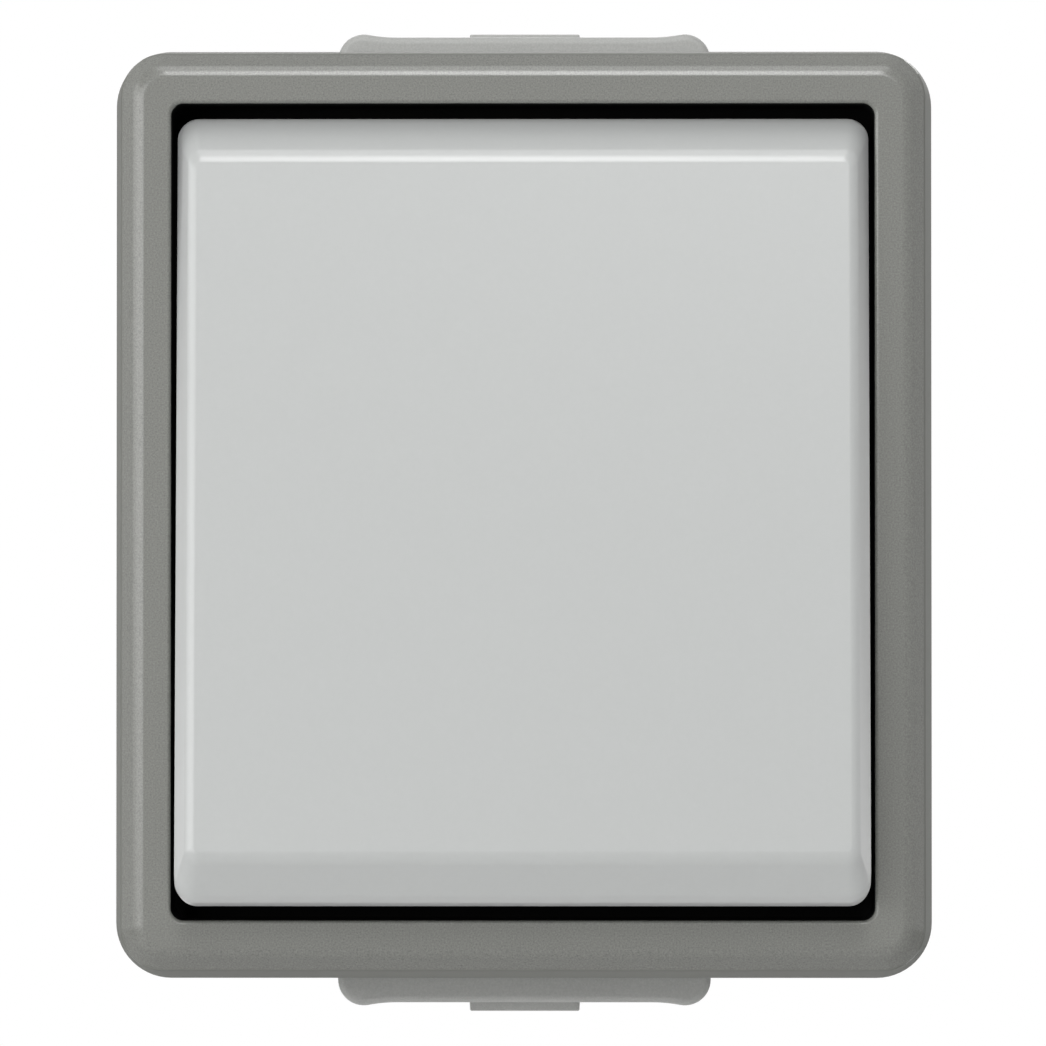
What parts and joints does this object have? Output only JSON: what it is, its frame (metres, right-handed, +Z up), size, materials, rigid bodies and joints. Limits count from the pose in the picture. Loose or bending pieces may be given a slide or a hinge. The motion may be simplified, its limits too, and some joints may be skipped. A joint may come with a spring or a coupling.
{
  "type": "pushbutton switch",
  "caption": "Surface-mounted splash-proof wall pushbutton: grey box and frame, one large sprung rocking button, soft cable grommets above and below.",
  "frame": {"origin": "centre of the two wall-screw slots, on the back face that lies on the wall", "axes": "+X right, +Z up, +Y into the wall, so the button faces -Y"},
  "size_m": [0.066, 0.0522, 0.0803],
  "materials": {
    "box_grey": "fine satin moulded plastic",
    "frame_grey": "fine satin moulded plastic",
    "button_grey": "smooth semi-gloss moulded plastic",
    "grommet_grey": "soft matt elastomer",
    "seal_black": "matt",
    "socket_white": "moulded thermoset",
    "cradle_white": "moulded",
    "plate_steel": "zinc plated",
    "screw_steel": "zinc plated",
    "spring_steel": "drawn wire",
    "terminal_brass": "pressed and turned",
    "contact_silver": "satin"
  },
  "bodies": {
    "housing": {"base_box": "box_grey", "top_cable_grommet": "grommet_grey", "bottom_cable_grommet": "grommet_grey", "rim_gasket": "seal_black", "front_frame": "frame_grey", "frame_screws": "screw_steel", "insert_seal": "seal_black", "support_plate": "plate_steel", "insert_screws": "screw_steel", "plate_rivets": "screw_steel", "insert_socket": "socket_white", "socket_back_cover": "socket_white", "line_terminal": "terminal_brass", "switched_terminal": "terminal_brass", "terminal_screws": "screw_steel", "fixed_contact": "contact_silver", "contact_spring": "spring_steel", "return_spring": "spring_steel"},
    "rocker": {"rocker": "button_grey", "rocker_cradle": "cradle_white"},
    "contact": {"contact_lever": "terminal_brass", "moving_contact": "contact_silver"}
  },
  "joints": [
    {"name": "rocker_press", "type": "hinge", "parent": "housing", "child": "rocker", "pos_m": [0, -0.041, -0.00038], "axis": [1, 0, 0], "range_deg": [0, 6.5], "stiffness_Nm_per_rad": 0.25, "springref_deg": -14.32, "deforming": ["return_spring"]},
    {"name": "contact_swing", "type": "hinge", "parent": "housing", "child": "contact", "pos_m": [0.005, -0.028, 0.003], "axis": [1, 0, 0], "range_deg": [0, 5], "deforming": ["contact_spring"]}
  ],
  "couplings": [
    {"joint": "contact_swing", "follows": "rocker_press", "ratio": 0.75}
  ]
}
